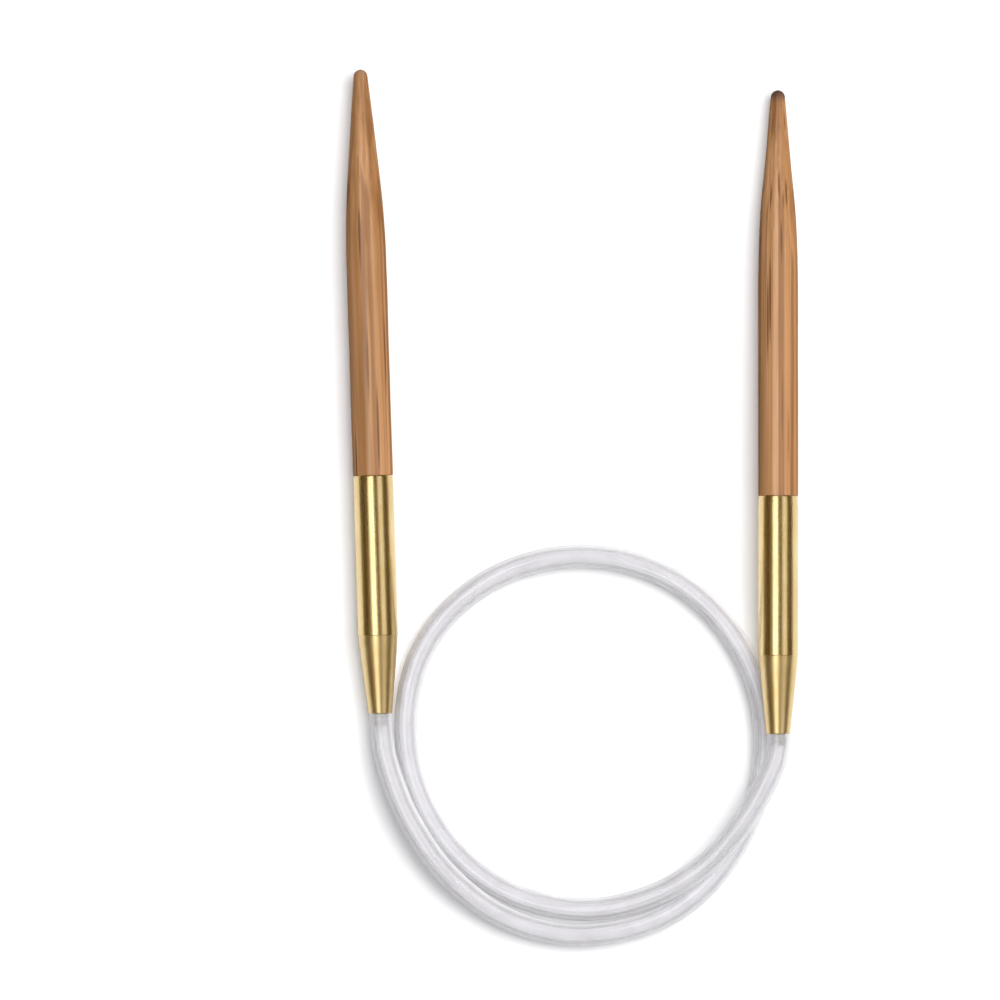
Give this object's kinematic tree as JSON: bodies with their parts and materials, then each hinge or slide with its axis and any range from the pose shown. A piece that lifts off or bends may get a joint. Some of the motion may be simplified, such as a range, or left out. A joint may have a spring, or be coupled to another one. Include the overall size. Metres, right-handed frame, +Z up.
{
  "type": "circular knitting needle",
  "caption": "Circular knitting needle: bamboo tips in brass ferrules that swivel on a clear hollow cable, which lies in a loop.",
  "frame": {"origin": "bottom centre of the box around both tips and their swivel pins, on the surface the needle lies on", "axes": "+Z up from the surface, +Y the way both points face, +X from the left tip to the right one"},
  "size_m": [0.0904, 0.1755, 0.0105],
  "materials": {
    "bamboo": "satin varnish",
    "brass": "polished",
    "steel": "nickel plated",
    "nylon": "natural",
    "adhesive": "cured epoxy",
    "clear_tube": "clear, glossy"
  },
  "bodies": {
    "cord": {"cable": "clear_tube", "left_pin": "steel", "left_washer": "nylon", "right_pin": "steel", "right_washer": "nylon"},
    "left_tip": {"left_shaft": "bamboo", "left_adhesive": "adhesive", "left_barrel": "brass", "left_nose": "brass"},
    "right_tip": {"right_shaft": "bamboo", "right_adhesive": "adhesive", "right_barrel": "brass", "right_nose": "brass"}
  },
  "joints": [
    {"name": "left_swivel", "type": "hinge", "parent": "cord", "child": "left_tip", "pos_m": [-0.0383, -0.0611, 0.004], "axis": [-0.0314, 0.9995, 0], "continuous": true},
    {"name": "right_swivel", "type": "hinge", "parent": "cord", "child": "right_tip", "pos_m": [0.0412, -0.0652, 0.007], "axis": [0, 0.9995, -0.0321], "continuous": true}
  ]
}
